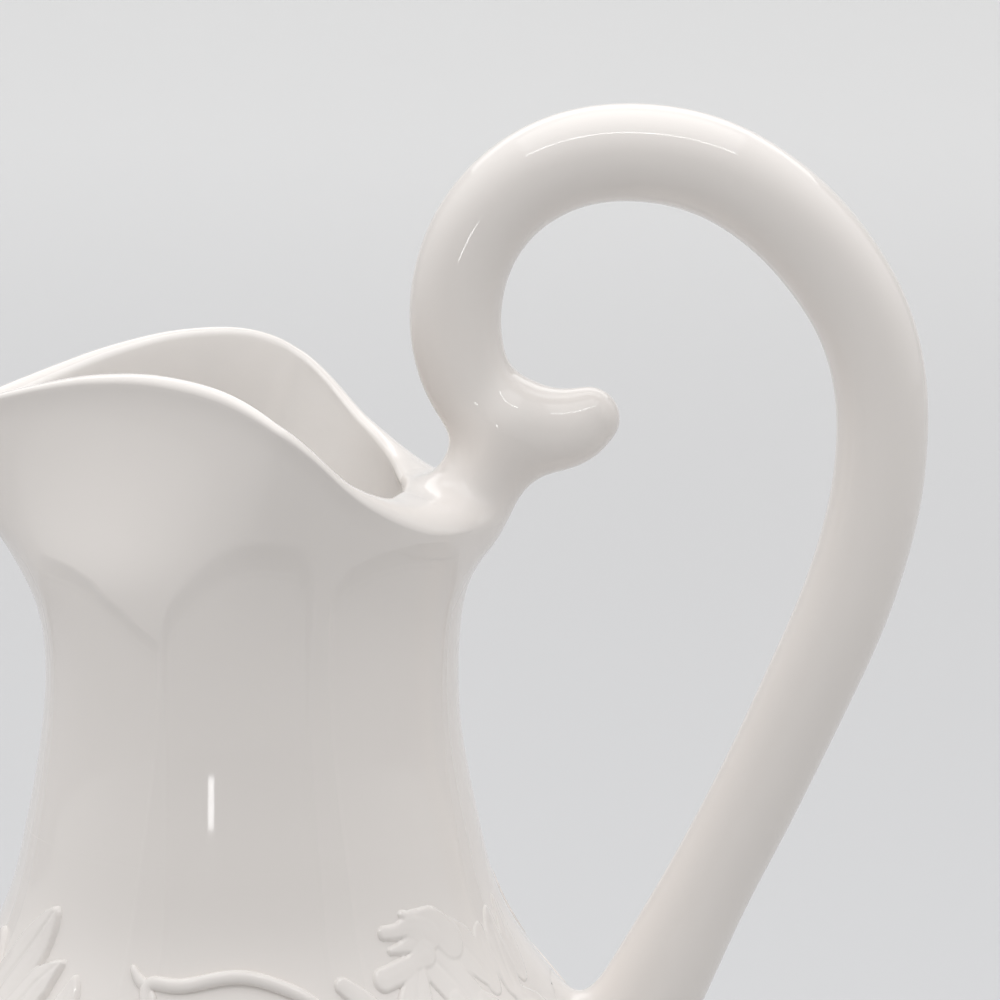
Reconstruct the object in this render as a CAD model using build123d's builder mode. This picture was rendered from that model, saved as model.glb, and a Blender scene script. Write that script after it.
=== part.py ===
"""A glazed ceramic ewer: foot, belly, neck with a pouring lip, scrolled handle and applied relief.

Units are millimetres. +Z is up, +X points to the handle and -X to the lip. The origin is the centre
of the foot ring on the surface that the ewer stands on. The ewer is the same on both sides of Y = 0.
"""

import os
from math import cos, pi, sin, sqrt

from build123d import *

os.makedirs("parts", exist_ok=True)

# Heights, stacked from the table up
foot_height = 26.0  # the belly is luted on here
belly_height = 178.0  # from the foot to the joint with the neck
neck_height = 111.0  # from that joint to the crest of the wavy rim, halfway along each side
loop_rise = 58.5  # from the crest to the top of the handle's loop
neck_joint_height = foot_height + belly_height
rim_crest_height = neck_joint_height + neck_height
ewer_height = rim_crest_height + loop_rise

# Radii and reaches from the vertical axis
belly_radius = 96.5
neck_foot_radius = 54.1
neck_waist_radius = 49.2
mouth_back_reach = 59.0
mouth_half_width = 60.0
spout_reach = 71.0
foot_radius = 61.0
foot_waist_radius = 47.5
handle_reach = 159.0  # out to the grip's outer edge

# Walls, grip and relief
wall = 4.8
belly_floor = 6.0
foot_ring_width = 7.0
foot_ring_setback = 2.0  # from the foot's edge in to the ring
foot_edge_height = 6.0
foot_edge_swell = 1.0
foot_hollow_height = 15.0
grip_radius = 10.7
lip_nose_radius = 5.5
inner_nose_radius = 0.6
relief_height = 2.4

# The foot's flare: share of the way out from its waist to its edge, and up from the edge to the joint
foot_flare_shares = (0.15, 0.45)
# The hollow under it: share of the ring's inner radius, and of the hollow's height
foot_hollow_shares = (0.90, 0.56)

# The belly's outline. Below its widest place: share of the way out from the foot's waist, and share
# of the way up. Above it: share of the way out from the neck's foot, and share of the way up.
belly_lower_shares = [(0.122, 0.056), (0.409, 0.135), (0.744, 0.247), (0.949, 0.360), (1.0, 0.472)]
belly_upper_shares = [
    (0.893, 0.584),
    (0.647, 0.697),
    (0.481, 0.753),
    (0.338, 0.798),
    (0.237, 0.837),
    (0.146, 0.876),
    (0.083, 0.916),
    (0.037, 0.959),
]

# The neck below the mouth: share of the way from the joint to the crest, and how far the radius has
# come from the neck's foot to its waist
neck_tube_shares = [(0.0, 0.0), (0.095, 0.42), (0.19, 0.78), (0.29, 0.98), (0.395, 0.98)]

# The mouth above it: share of the height, then how far the back, the lip and the sides have opened
# from the waist to their full reach, and how far the lip has been pinched to a beak
mouth_shares = [
    (0.485, 0.10, 0.12, 0.04, 0.05),
    (0.575, 0.49, 0.38, 0.15, 0.22),
    (0.665, 0.80, 0.66, 0.31, 0.50),
    (0.775, 0.94, 0.86, 0.57, 0.78),
    (0.890, 1.00, 0.96, 0.81, 0.94),
    (1.045, 1.00, 1.00, 1.00, 1.00),
]
beak_offset_share = 0.17  # how far the widest place moves to the back, of the mouth's half width
round_powers_shares = (2.0, 0.5)  # the section's two exponents where it is round
beak_powers_shares = (1.2, 1.42)  # and where it is pinched
nose_power_share = 6  # how late the beak's round end closes

# The rim seen from the side: share from the axis to the lip (negative) or to the back of the mouth,
# and the height as a share of the way from the neck's joint to the crest
rim_curve_shares = [
    (-1.30, 0.795),
    (-1.00, 0.855),
    (-0.83, 0.915),
    (-0.62, 0.958),
    (-0.36, 0.997),
    (-0.12, 0.995),
    (0.08, 0.955),
    (0.22, 0.905),
    (0.41, 0.790),
    (0.58, 0.702),
    (0.78, 0.680),
    (1.00, 0.680),
    (1.40, 0.690),
]

# The handle's middle line, from its root up over the loop and down to the scroll: share from the
# back of the mouth to the middle of the grip, share from the neck's joint to the top of the loop,
# and the radius as a share of grip_radius
handle_line_shares = [
    (0.401, -0.278, 1.12),
    (0.482, -0.181, 1.01),
    (0.643, -0.007, 0.96),
    (0.779, 0.155, 0.97),
    (0.912, 0.321, 0.98),
    (0.977, 0.479, 1.00),
    (1.000, 0.588, 1.00),
    (0.983, 0.690, 1.01),
    (0.913, 0.790, 1.05),
    (0.801, 0.876, 1.07),
    (0.622, 0.957, 1.07),
    (0.364, 0.999, 1.06),
    (0.164, 0.984, 1.05),
    (0.016, 0.933, 1.03),
    (-0.083, 0.856, 1.03),
    (-0.118, 0.777, 1.02),
    (-0.110, 0.702, 1.00),
    (-0.062, 0.638, 0.98),
    (0.022, 0.596, 0.97),
    (0.118, 0.585, 0.94),
    (0.196, 0.594, 0.84),
    (0.252, 0.604, 0.67),
]
handle_root_shares = [(0.775, 0.555, 1.22), (0.925, 0.70, 1.18)]  # of belly_radius and its height
scroll_tip_share = 0.67

# The stay that joins the scroll to the back of the rim: share of mouth_back_reach, height share as
# for the handle, half depth along X and half width along Y as shares of grip_radius
stay_shares = [
    (1.03, 0.580, 0.95, 0.80),
    (1.00, 0.530, 1.08, 0.86),
    (0.955, 0.480, 1.06, 0.92),
    (0.910, 0.440, 1.04, 1.05),
    (0.830, 0.375, 0.96, 1.10),
    (0.740, 0.310, 0.88, 1.05),
]

# Relief on the shoulder and belly. A drop is how far a piece's top or middle lies below the neck's
# joint, and a gap is the bare belly between two pieces.
frame_half_width = 27.0
frame_top_drop = 21.0
frame_length = 91.0
frame_strap_width = 4.2
# Half of the frame's outer line: share of its half width, share of the way up
frame_outline_shares = [
    (0.00, 0.00),
    (0.34, 0.07),
    (0.72, 0.28),
    (1.00, 0.55),
    (0.94, 0.78),
    (0.82, 0.88),
    (0.86, 0.98),
    (0.55, 0.95),
    (0.00, 1.00),
]
flower_gap = 5.5
flower_drop = 26.0
flower_leaf_length = 19.0
flower_leaf_width = 7.0
flower_heart_radius = 6.0
flower_turns_shares = (20, 75, 130, 185, 240, 300)  # degrees, counted from the handle's side
spray_gap = 2.5
spray_drop = 24.0
spray_leaf_length = 17.0
spray_leaf_width = 8.5
spray_heart_radius = 5.0
spray_turns_shares = (45, 90, 130, 235, 300)
root_gap = 2.0
root_drop = 21.0
root_leaf_length = 13.0
root_leaf_width = 6.5
root_heart_radius = 3.5
root_turns_shares = (45, 115, 215, 285)


def between(low, high, share):
    """The value that lies share of the way from low to high."""
    return low + (high - low) * share


def belly_points(proud):
    """The belly's outline between its joints, moved outwards by proud."""
    points = [(foot_waist_radius + proud, foot_height)]
    for out, up in belly_lower_shares:
        radius = between(foot_waist_radius, belly_radius, out)
        points.append((radius + proud, foot_height + belly_height * up))
    for out, up in belly_upper_shares:
        radius = between(neck_foot_radius, belly_radius, out)
        points.append((radius + proud, foot_height + belly_height * up))
    points.append((neck_foot_radius + proud, neck_joint_height))
    return points


def belly_radius_at(height):
    """The belly's outer radius at a height, taken straight between the outline's points."""
    points = belly_points(0)
    radius = foot_waist_radius
    for (low_radius, low), (high_radius, high) in zip(points, points[1:]):
        if height >= low:
            radius = between(low_radius, high_radius, (height - low) / (high - low))
    return radius


def mouth_section(back, lip, half_width, pinch, nose, steps=14):
    """Points of one closed level section: round at the back, drawn to a beak at the lip."""
    offset = half_width * beak_offset_share * pinch
    power_in = between(round_powers_shares[0], beak_powers_shares[0], pinch)
    power_out = between(round_powers_shares[1], beak_powers_shares[1], pinch)
    side = []
    for step in range(steps + 1):
        turn = pi * step / steps
        if turn <= pi / 2:
            side.append((offset + (back - offset) * cos(turn), half_width * sin(turn)))
        else:
            way = -cos(turn)
            cheek = half_width * max(0.0, 1 - way**power_in) ** power_out
            round_nose = nose * pinch * sqrt(max(0.0, 1 - way**nose_power_share))
            side.append((offset - (lip + offset) * way, sqrt(cheek**2 + round_nose**2)))
    side[-1] = (side[-1][0], 0)
    side[0] = (side[0][0], 0)
    return side + [(x, -y) for x, y in reversed(side[1:-1])]


def neck_levels(inset):
    """Height and section points of each level of the neck, moved inwards by inset."""
    levels = []
    for height_share, waist_share in neck_tube_shares:
        radius = between(neck_foot_radius, neck_waist_radius, waist_share) - inset
        points = mouth_section(radius, radius, radius, 0, 0)
        levels.append((neck_joint_height + neck_height * height_share, points))
    for height_share, back_share, lip_share, side_share, pinch in mouth_shares:
        back = between(neck_waist_radius, mouth_back_reach, back_share) - inset
        lip = between(neck_waist_radius, spout_reach, lip_share) - inset * (1 + pinch)
        side = between(neck_waist_radius, mouth_half_width, side_share) - inset
        nose = max(lip_nose_radius - inset, inner_nose_radius)
        points = mouth_section(back, lip, side, pinch, nose)
        levels.append((neck_joint_height + neck_height * height_share, points))
    return levels


def rim_line():
    """Points of the rim seen from the side."""
    points = []
    for reach_share, height_share in rim_curve_shares:
        reach = spout_reach if reach_share < 0 else mouth_back_reach
        points.append((reach * reach_share, neck_joint_height + neck_height * height_share))
    return points


def handle_stations():
    """Centre and radius of each section of the handle, in the plane Y = 0."""
    grip_line = handle_reach - grip_radius
    loop_top_radius_share = max(handle_line_shares, key=lambda station: station[1])[2]
    top_line = ewer_height - grip_radius * loop_top_radius_share
    stations = []
    for reach_share, height_share, radius_share in handle_root_shares:
        height = foot_height + belly_height * height_share
        stations.append((belly_radius * reach_share, height, grip_radius * radius_share))
    for reach_share, height_share, radius_share in handle_line_shares:
        reach = between(mouth_back_reach, grip_line, reach_share)
        height = between(neck_joint_height, top_line, height_share)
        stations.append((reach, height, grip_radius * radius_share))
    return stations


def section_plane(before, here, after):
    """The plane across the handle at one station, square to the line through its neighbours."""
    along = (after[0] - before[0], 0, after[1] - before[1])
    return Plane(origin=(here[0], 0, here[1]), x_dir=(0, 1, 0), z_dir=along)


def side_plane(way_round, height):
    """A plane through the axis that faces out of the near side, turned until its middle lies that
    way round the belly, towards the handle where the way is positive."""
    turn = way_round / belly_radius_at(height)
    facing = (sin(turn), -cos(turn), 0)
    return Plane(origin=(0, 0, height), x_dir=(cos(turn), sin(turn), 0), z_dir=facing)


def leaf_face(length, width):
    """One pointed leaf between two arcs, centred on the origin and lying along X."""
    upper = ThreePointArc((-length / 2, 0), (0, width / 2), (length / 2, 0))
    lower = ThreePointArc((length / 2, 0), (0, -width / 2), (-length / 2, 0))
    return make_face([upper, lower])


def leaf_places(turns, length, heart_radius):
    """Where the leaves of a spray lie about its heart, one for each turn in degrees."""
    middle = heart_radius / 2 + length / 2
    return [
        Location((middle * cos(turn * pi / 180), middle * sin(turn * pi / 180), 0), (0, 0, turn))
        for turn in turns
    ]


def spray_reach(turns, length, heart_radius, way):
    """How far a spray reaches from its middle, to the handle's side (way 1) or the lip's (way -1)."""
    tips = [way * (heart_radius / 2 + length) * cos(turn * pi / 180) for turn in turns]
    return max(heart_radius, *tips)


# Foot: turned, hollow underneath, standing on a ring
ring_outer = foot_radius - foot_ring_setback
ring_inner = ring_outer - foot_ring_width
flare_out, flare_up = foot_flare_shares
hollow_out, hollow_up = foot_hollow_shares
with BuildPart() as foot:
    with BuildSketch(Plane.XZ):
        with BuildLine():
            Polyline((0, foot_hollow_height), (0, foot_height), (foot_waist_radius, foot_height))
            Spline(
                (foot_waist_radius, foot_height),
                (
                    between(foot_waist_radius, foot_radius, flare_out),
                    between(foot_edge_height, foot_height, flare_up),
                ),
                (foot_radius, foot_edge_height),
                tangents=[(0, -1), (1, -0.35)],
            )
            Spline(
                (foot_radius, foot_edge_height),
                (foot_radius + foot_edge_swell, foot_edge_height / 2),
                (ring_outer, 0),
            )
            Line((ring_outer, 0), (ring_inner, 0))
            Spline(
                (ring_inner, 0),
                (ring_inner * hollow_out, foot_hollow_height * hollow_up),
                (0, foot_hollow_height),
                tangents=[(-0.2, 1), (-1, 0)],
            )
        make_face()
    revolve(axis=Axis.Z)
foot.part.label = "foot"
export_step(foot.part, "parts/foot.step")

# Belly: a hollow shell with a floor, open at the top
floor_top = foot_height + belly_floor
inside = [point for point in belly_points(-wall) if point[1] > floor_top]
with BuildPart() as belly:
    with BuildSketch(Plane.XZ):
        with BuildLine():
            Spline(*belly_points(0))
            Line((neck_foot_radius, neck_joint_height), (neck_foot_radius - wall, neck_joint_height))
            Spline(*reversed(inside))
            TangentArc((0, floor_top), inside[0], tangent=(1, 0))
            Polyline((0, floor_top), (0, foot_height), (foot_waist_radius, foot_height))
        make_face()
    revolve(axis=Axis.Z)
belly.part.label = "belly"
export_step(belly.part, "parts/belly.step")

# The belly's outer form as a full block, which pieces that sit on it are cut by
with BuildPart() as belly_block:
    with BuildSketch(Plane.XZ):
        with BuildLine():
            Spline(*belly_points(0))
            Polyline(
                (neck_foot_radius, neck_joint_height),
                (0, neck_joint_height),
                (0, foot_height),
                (foot_waist_radius, foot_height),
            )
        make_face()
    revolve(axis=Axis.Z)

# The space that holds everything below the wavy rim
with BuildPart() as below_rim:
    with BuildSketch(Plane.XZ):
        with BuildLine():
            line = rim_line()
            Spline(*line)
            Polyline(line[-1], (line[-1][0], 0), (line[0][0], 0), line[0])
        make_face()
    extrude(amount=mouth_half_width * 2, both=True)

# The neck's outer form as a full block
with BuildPart() as neck_block:
    for height, points in neck_levels(0):
        with BuildSketch(Plane.XY.offset(height)):
            with BuildLine():
                Spline(*points, periodic=True)
            make_face()
    loft()
    add(below_rim.part, mode=Mode.INTERSECT)

# Neck with its spout: the block less the passage inside
with BuildPart() as neck_passage:
    for height, points in neck_levels(wall):
        with BuildSketch(Plane.XY.offset(height)):
            with BuildLine():
                Spline(*points, periodic=True)
            make_face()
    loft()
with BuildPart() as neck:
    add(neck_block.part)
    add(neck_passage.part, mode=Mode.SUBTRACT)
neck.part.label = "neck"
export_step(neck.part, "parts/neck.step")

# Handle: one strand that rises from the belly, loops over and curls into a scroll, with a stay
# from the scroll down to the back of the rim
stations = handle_stations()
with BuildPart() as handle:
    for number, here in enumerate(stations):
        before = stations[max(number - 1, 0)]
        after = stations[min(number + 1, len(stations) - 1)]
        with BuildSketch(section_plane(before, here, after)):
            Circle(here[2])
    loft()
    with Locations((stations[-1][0], 0, stations[-1][1])):
        Sphere(grip_radius * scroll_tip_share)
with BuildPart() as stay:
    for reach_share, height_share, depth_share, width_share in stay_shares:
        height = between(neck_joint_height, ewer_height - grip_radius, height_share)
        with BuildSketch(Plane.XY.offset(height)):
            with Locations((mouth_back_reach * reach_share, 0)):
                Ellipse(grip_radius * depth_share, grip_radius * width_share)
    loft()
with BuildPart() as whole_handle:
    add(handle.part)
    add(stay.part)
    add(neck_block.part, mode=Mode.SUBTRACT)
    add(belly_block.part, mode=Mode.SUBTRACT)
whole_handle.part.label = "handle"
export_step(whole_handle.part, "parts/handle.step")

# The thin coat over the belly in which all relief lies
with BuildPart() as relief_coat:
    with BuildSketch(Plane.XZ):
        with BuildLine():
            Spline(*belly_points(0))
            Line(belly_points(0)[-1], belly_points(relief_height)[-1])
            Spline(*reversed(belly_points(relief_height)))
            Line(belly_points(relief_height)[0], belly_points(0)[0])
        make_face()
    revolve(axis=Axis.Z)


def frame_points(inset):
    """The closed line of the side frame, moved inwards by inset."""
    bottom = neck_joint_height - frame_top_drop - frame_length + inset
    rise = frame_length - inset * 2
    half = [
        ((frame_half_width - inset) * across, bottom + rise * up)
        for across, up in frame_outline_shares
    ]
    return half + [(-x, z) for x, z in reversed(half[1:-1])]


# Side frames: a strap on each side that borders a plain field
with BuildPart() as side_frames:
    with BuildSketch(Plane.XZ):
        with BuildLine():
            Spline(*frame_points(0), periodic=True)
        make_face()
        with BuildLine():
            Spline(*frame_points(frame_strap_width), periodic=True)
        make_face(mode=Mode.SUBTRACT)
    extrude(amount=belly_radius * 2)
    add(relief_coat.part, mode=Mode.INTERSECT)
    mirror(about=Plane.XZ)
side_frames.part.label = "side_frames"
export_step(side_frames.part, "parts/side_frames.step")


def relief_spray(way_round, drop, turns, length, width, heart_radius):
    """A heart with leaves around it, laid on the belly on both sides."""
    leaf = leaf_face(length, width)
    with BuildPart() as spray:
        with BuildSketch(side_plane(way_round, neck_joint_height - drop)):
            Circle(heart_radius)
            with Locations(*leaf_places(turns, length, heart_radius)):
                add(leaf)
        extrude(amount=belly_radius * 2)
        add(relief_coat.part, mode=Mode.INTERSECT)
        mirror(about=Plane.XZ)
    return spray.part


# Flower sprays: on the lip's side of the frame
flower_sizes = (flower_leaf_length, flower_leaf_width, flower_heart_radius)
flower_inner_reach = spray_reach(flower_turns_shares, flower_leaf_length, flower_heart_radius, 1)
flower_way = frame_half_width + flower_gap + flower_inner_reach
flower_sprays = relief_spray(-flower_way, flower_drop, flower_turns_shares, *flower_sizes)
flower_sprays.label = "flower_sprays"
export_step(flower_sprays, "parts/flower_sprays.step")

# Leaf sprays: on the handle's side of the frame
spray_sizes = (spray_leaf_length, spray_leaf_width, spray_heart_radius)
spray_inner_reach = spray_reach(spray_turns_shares, spray_leaf_length, spray_heart_radius, -1)
spray_outer_reach = spray_reach(spray_turns_shares, spray_leaf_length, spray_heart_radius, 1)
spray_way = frame_half_width + spray_gap + spray_inner_reach
leaf_sprays = relief_spray(spray_way, spray_drop, spray_turns_shares, *spray_sizes)
leaf_sprays.label = "leaf_sprays"
export_step(leaf_sprays, "parts/leaf_sprays.step")

# Root leaves: between the leaf sprays and the handle's root
root_sizes = (root_leaf_length, root_leaf_width, root_heart_radius)
root_inner_reach = spray_reach(root_turns_shares, root_leaf_length, root_heart_radius, -1)
root_way = spray_way + spray_outer_reach + root_gap + root_inner_reach
root_leaves = relief_spray(root_way, root_drop, root_turns_shares, *root_sizes)
root_leaves.label = "root_leaves"
export_step(root_leaves, "parts/root_leaves.step")
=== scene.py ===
"""Looks of the glazed ceramic ewer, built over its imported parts.

The ewer's own lengths are millimetres. The stage, the lights and the camera are in metres.
"""

import math

import bpy
import numpy as np
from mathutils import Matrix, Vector
from mathutils.bvhtree import BVHTree


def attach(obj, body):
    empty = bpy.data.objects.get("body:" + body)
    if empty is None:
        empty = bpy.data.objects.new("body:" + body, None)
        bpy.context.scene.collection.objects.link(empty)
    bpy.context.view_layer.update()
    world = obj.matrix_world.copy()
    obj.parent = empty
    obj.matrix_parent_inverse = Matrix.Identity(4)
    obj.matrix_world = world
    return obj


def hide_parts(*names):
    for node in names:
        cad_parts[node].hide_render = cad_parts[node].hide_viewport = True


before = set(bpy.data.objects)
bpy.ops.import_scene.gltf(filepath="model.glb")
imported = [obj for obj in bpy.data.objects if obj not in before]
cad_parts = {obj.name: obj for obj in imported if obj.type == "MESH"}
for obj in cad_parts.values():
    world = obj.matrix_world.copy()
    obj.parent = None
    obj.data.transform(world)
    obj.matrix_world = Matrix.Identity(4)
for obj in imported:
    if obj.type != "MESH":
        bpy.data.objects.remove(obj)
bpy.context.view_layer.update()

WHITE = (0.89, 0.846, 0.812)
# The inside of the mouth is painted lighter than the outer glaze: a whiter copy of the same glaze,
# which stands in for light
INSIDE_PAINTED_LIGHT_WHITE = (0.975, 0.942, 0.912)
ROUGHNESS = 0.05

# Heights of the foot's top, of the joint of belly and neck, and of the panels' arched tops
FOOT_TOP = 26.0
JOINT = 204.0
ARCH_TOP = 274.0
# Columns of the neck's and belly's meshes, how much closer they lie at the panels' edges, and the
# number of even columns on which the neck is worked out
COLUMNS = 500
GATHER = 3.4
EVEN = 720
# Thickness of the wall and of its edge at the lip, and the radius of that edge
WALL = 4.8
RIM_WALL = 4.2
BEAD = RIM_WALL / 2

# Height, reach at the back, reach at the lip, half width, and how far the lip is pinched to a beak
LEVELS = np.array(
    [
        (26.0, 47.5, 47.5, 47.5, 0),
        (36.0, 53.5, 53.5, 53.5, 0),
        (50.0, 67.5, 67.5, 67.5, 0),
        (70.0, 84.0, 84.0, 84.0, 0),
        (90.1, 94.0, 94.0, 94.0, 0),
        (110.0, 96.5, 96.5, 96.5, 0),
        (130.0, 92.0, 92.0, 92.0, 0),
        (150.1, 81.5, 81.5, 81.5, 0),
        (160.0, 74.5, 74.5, 74.5, 0),
        (168.0, 68.4, 68.4, 68.4, 0),
        (175.0, 64.0, 64.0, 64.0, 0),
        (182.0, 60.4, 60.4, 60.4, 0),
        (189.0, 57.7, 57.7, 57.7, 0),
        (196.5, 55.7, 55.7, 55.7, 0),
        (204.0, 54.1, 54.1, 54.1, 0),
        (214.5, 52.0, 52.0, 52.0, 0),
        (225.1, 50.3, 50.3, 50.3, 0),
        (236.2, 49.6, 49.2, 49.2, 0),
        (247.8, 49.9, 49.4, 49.0, 0.01),
        (257.8, 51.3, 51.8, 49.6, 0.06),
        (267.8, 54.4, 57.3, 50.8, 0.22),
        (277.8, 57.2, 63.2, 52.6, 0.50),
        (290.0, 58.4, 67.9, 55.4, 0.78),
        (302.8, 59.0, 70.1, 57.9, 0.94),
        (320.0, 59.2, 71.2, 60.2, 1.0),
    ]
)
BEAK_OFFSET = 0.17
NOSE = 5.5
THINNEST_NOSE = 0.6

# The rim seen from the side: way along the ewer, height
RIM = np.array(
    [
        (-92, 294),
        (-71, 301.5),
        (-59, 305.6),
        (-51.5, 308.2),
        (-44, 310.6),
        (-37, 312.6),
        (-30, 314.0),
        (-22, 315.0),
        (-12, 314.9),
        (-2, 313.2),
        (5, 310.2),
        (12, 305.5),
        (18, 299.8),
        (24, 293.3),
        (28, 290.1),
        (32, 287.3),
        (35.2, 285.2),
        (38, 284.0),
        (44, 283.4),
        (80, 283.2),
    ]
)

# The handle's middle line, from inside the belly to the scroll's tip: reach, height, radius
HANDLE = np.array(
    [
        (74.8, 124.8, 13.0),
        (84.5, 141.5, 12.8),
        (94.0, 158.6, 12.2),
        (102.0, 174.2, 11.2),
        (109.2, 188.4, 10.5),
        (116.6, 202.9, 10.4),
        (124.3, 218.9, 10.4),
        (132.5, 237.0, 10.6),
        (139.3, 253.0, 10.7),
        (143.9, 267.0, 10.7),
        (146.9, 280.0, 10.7),
        (148.2, 291.9, 10.7),
        (148.2, 302.6, 10.8),
        (146.6, 313.4, 11.0),
        (143.0, 324.0, 11.2),
        (137.2, 334.0, 11.4),
        (129.8, 343.2, 11.5),
        (120.0, 351.8, 11.5),
        (107.0, 358.9, 11.5),
        (91.4, 362.0, 11.4),
        (75.0, 360.2, 11.3),
        (61.8, 353.0, 11.1),
        (53.0, 342.2, 10.9),
        (48.8, 329.4, 10.8),
        (48.8, 317.2, 10.6),
        (52.2, 307.0, 10.3),
        (59.2, 299.6, 10.2),
        (68.6, 296.8, 9.9),
        (75.6, 297.6, 8.9),
        (79.4, 299.5, 7.4),
    ]
)


def spline(x, y, at):
    """A smooth curve through the points, read off at the places given."""
    n = len(x)
    gap = np.diff(x)
    a = np.zeros((n, n))
    b = np.zeros(n)
    a[0, 0] = a[-1, -1] = 1
    for i in range(1, n - 1):
        a[i, i - 1], a[i, i], a[i, i + 1] = gap[i - 1], 2 * (gap[i - 1] + gap[i]), gap[i]
        b[i] = 6 * ((y[i + 1] - y[i]) / gap[i] - (y[i] - y[i - 1]) / gap[i - 1])
    m = np.linalg.solve(a, b)
    i = np.clip(np.searchsorted(x, at) - 1, 0, n - 2)
    h = gap[i]
    u, v = (x[i + 1] - at) / h, (at - x[i]) / h
    return (
        u * y[i]
        + v * y[i + 1]
        + ((u**3 - u) * m[i] + (v**3 - v) * m[i + 1]) * h * h / 6
    )


def smooth(low, high, value):
    """A soft step from 0 at low to 1 at high."""
    t = np.clip((value - low) / (high - low), 0, 1)
    return t * t * (3 - 2 * t)


def level(z):
    """Back, lip, half width and pinch at a height."""
    heights = LEVELS[:, 0]
    back, lip, half, pinch = (spline(heights, LEVELS[:, k], z) for k in (1, 2, 3, 4))
    return back, lip, half, np.clip(pinch, 0, 1)


def section(turn, z, inset):
    """Point of the level section at a turn from the handle's side, moved inwards by inset."""
    back, lip, half, pinch = level(z)
    back = back - inset
    lip = lip - inset * (1 + pinch)
    half = half - inset
    nose = np.maximum(NOSE - inset, THINNEST_NOSE)
    offset = half * BEAK_OFFSET * pinch
    c, s = np.cos(turn), np.sin(turn)
    way = np.clip(-c, 0, 1)
    power_in = 2 - 0.8 * pinch
    power_out = 0.5 + 0.92 * pinch
    cheek = half * np.maximum(0, 1 - way**power_in) ** power_out
    round_nose = nose * pinch * np.sqrt(np.maximum(0, 1 - way**6))
    x = np.where(c > 0, offset + (back - offset) * c, offset - (lip + offset) * way)
    y = np.where(c > 0, half * np.abs(s), np.sqrt(cheek**2 + round_nose**2))
    return x, y * np.sign(s)


def rim_height(x):
    """Height of the rim at a way along the ewer."""
    return spline(RIM[:, 0], RIM[:, 1], x)


def soften(grid, reach=3.6):
    """Blurs each level section a little along itself, which rounds the mouth's corners."""
    count = grid.shape[1]
    k = np.minimum(np.arange(count), count - np.arange(count))
    kernel = np.exp(-0.5 * (k / reach) ** 2)
    kernel /= kernel.sum()
    spectrum = np.fft.fft(kernel)[None, :, None]
    return np.real(np.fft.ifft(np.fft.fft(grid, axis=1) * spectrum, axis=1))


def grid_normals(grid):
    """Outward normals of a grid of points whose columns close on themselves."""
    along = np.roll(grid, -1, 1) - np.roll(grid, 1, 1)
    up = np.gradient(grid, axis=0)
    n = np.cross(along, up)
    return n / np.maximum(np.linalg.norm(n, axis=2, keepdims=True), 1e-9)


# Panels of the neck. Bearings are degrees round from the middle of a side, towards the handle; each
# panel has its edge towards the lip and towards the handle, low down and high up, the line of its
# arched top as bearing and height, and the height of the slope above that line
PANELS = [
    (
        (-18.0, -21.0),
        (19.4, 18.3),
        [(-21.5, 250.5), (-20.5, 254), (-19, 257.2), (-15.6, 261), (-11.6, 264.6), (-7.3, 268),
         (-3.3, 270.2), (0, 271.5), (5, 272.2), (10, 271.8), (13.6, 271.3), (16, 269.8), (18.5, 264)],
        7.6,
    ),
    (
        (-65.0, -66.5),
        (-26.0, -22.6),
        [(-66.5, 266.5), (-60, 266), (-53.3, 265.2), (-45.8, 263.2), (-40.7, 260.4), (-34.2, 257.6),
         (-30, 254.9), (-22.6, 251)],
        4.6,
    ),
    (
        (26.6, 24.0),
        (64.5, 66.5),
        [(24, 262), (28, 267), (36, 270), (46, 271), (56, 270), (63, 266), (66.5, 260)],
        6.0,
    ),
    ((70.5, 69.5), (109.5, 110.5), [(69, 256), (74, 261), (82, 264), (90, 265)], 6.0),
    ((-109.5, -110.5), (-70.5, -69.5), [(-90, 271), (-80, 270), (-74, 267), (-69, 261)], 5.0),
]
# How deep a panel is sunk at its edges, how much more in its middle, and how much more high up
PANEL_STEP = 0.04
PANEL_DISH = 0.5
PANEL_HOLLOW = 0.75
# Width of a panel's edge, the height and width of the ridge along it, and the neck's mean radius
EDGE = 1.4
RIB = 0.085
RIB_WIDTH = 0.55
NECK_MEAN = 50
# Heights between which the panels fade in above the belly
PANELS_FROM, PANELS_FULL = 164, 182


def panel_field(bearing, z):
    """How far the surface is sunk for the panels. The bearing is in degrees."""
    sunk = np.zeros(np.broadcast(bearing, z).shape)
    ribs = np.zeros(sunk.shape)
    up = smooth(185, 250, z)
    for lip_edge, handle_edge, arch, slope in PANELS:
        arch = np.array(arch, float)
        left = lip_edge[0] + (lip_edge[1] - lip_edge[0]) * up
        right = handle_edge[0] + (handle_edge[1] - handle_edge[0]) * up
        across = (bearing - left) / (right - left) * 2 - 1
        side = np.minimum(bearing - left, right - bearing) * math.pi / 180 * NECK_MEAN
        into = smooth(-EDGE / 2, EDGE / 2, side)
        above = z - np.interp(bearing, arch[:, 0], arch[:, 1])
        rise = np.clip(above / slope, 0, 1)
        depth = PANEL_STEP + PANEL_DISH * (1 - np.clip(np.abs(across), 0, 1) ** 2)
        at_front = 1 - smooth(55, 75, np.abs(bearing))
        depth = depth + PANEL_HOLLOW * smooth(232, 268, z) * at_front
        fall = (1 - rise) * (1 + 0.35 * rise)
        brink = np.minimum(side, np.maximum(-above, 0) + np.maximum(above, 0) * 1.5)
        rib = RIB * np.exp(-((brink / RIB_WIDTH) ** 2)) * (side > -1.5) * (above < 1.5)
        sunk = np.maximum(sunk, into * depth * fall)
        ribs = np.maximum(ribs, rib)
    return (sunk - ribs) * smooth(PANELS_FROM, PANELS_FULL, z)


def bearing_of(x, y):
    """Degrees round from the middle of the near or far side towards the handle."""
    return np.degrees(np.arctan2(x, np.abs(y)))


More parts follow.
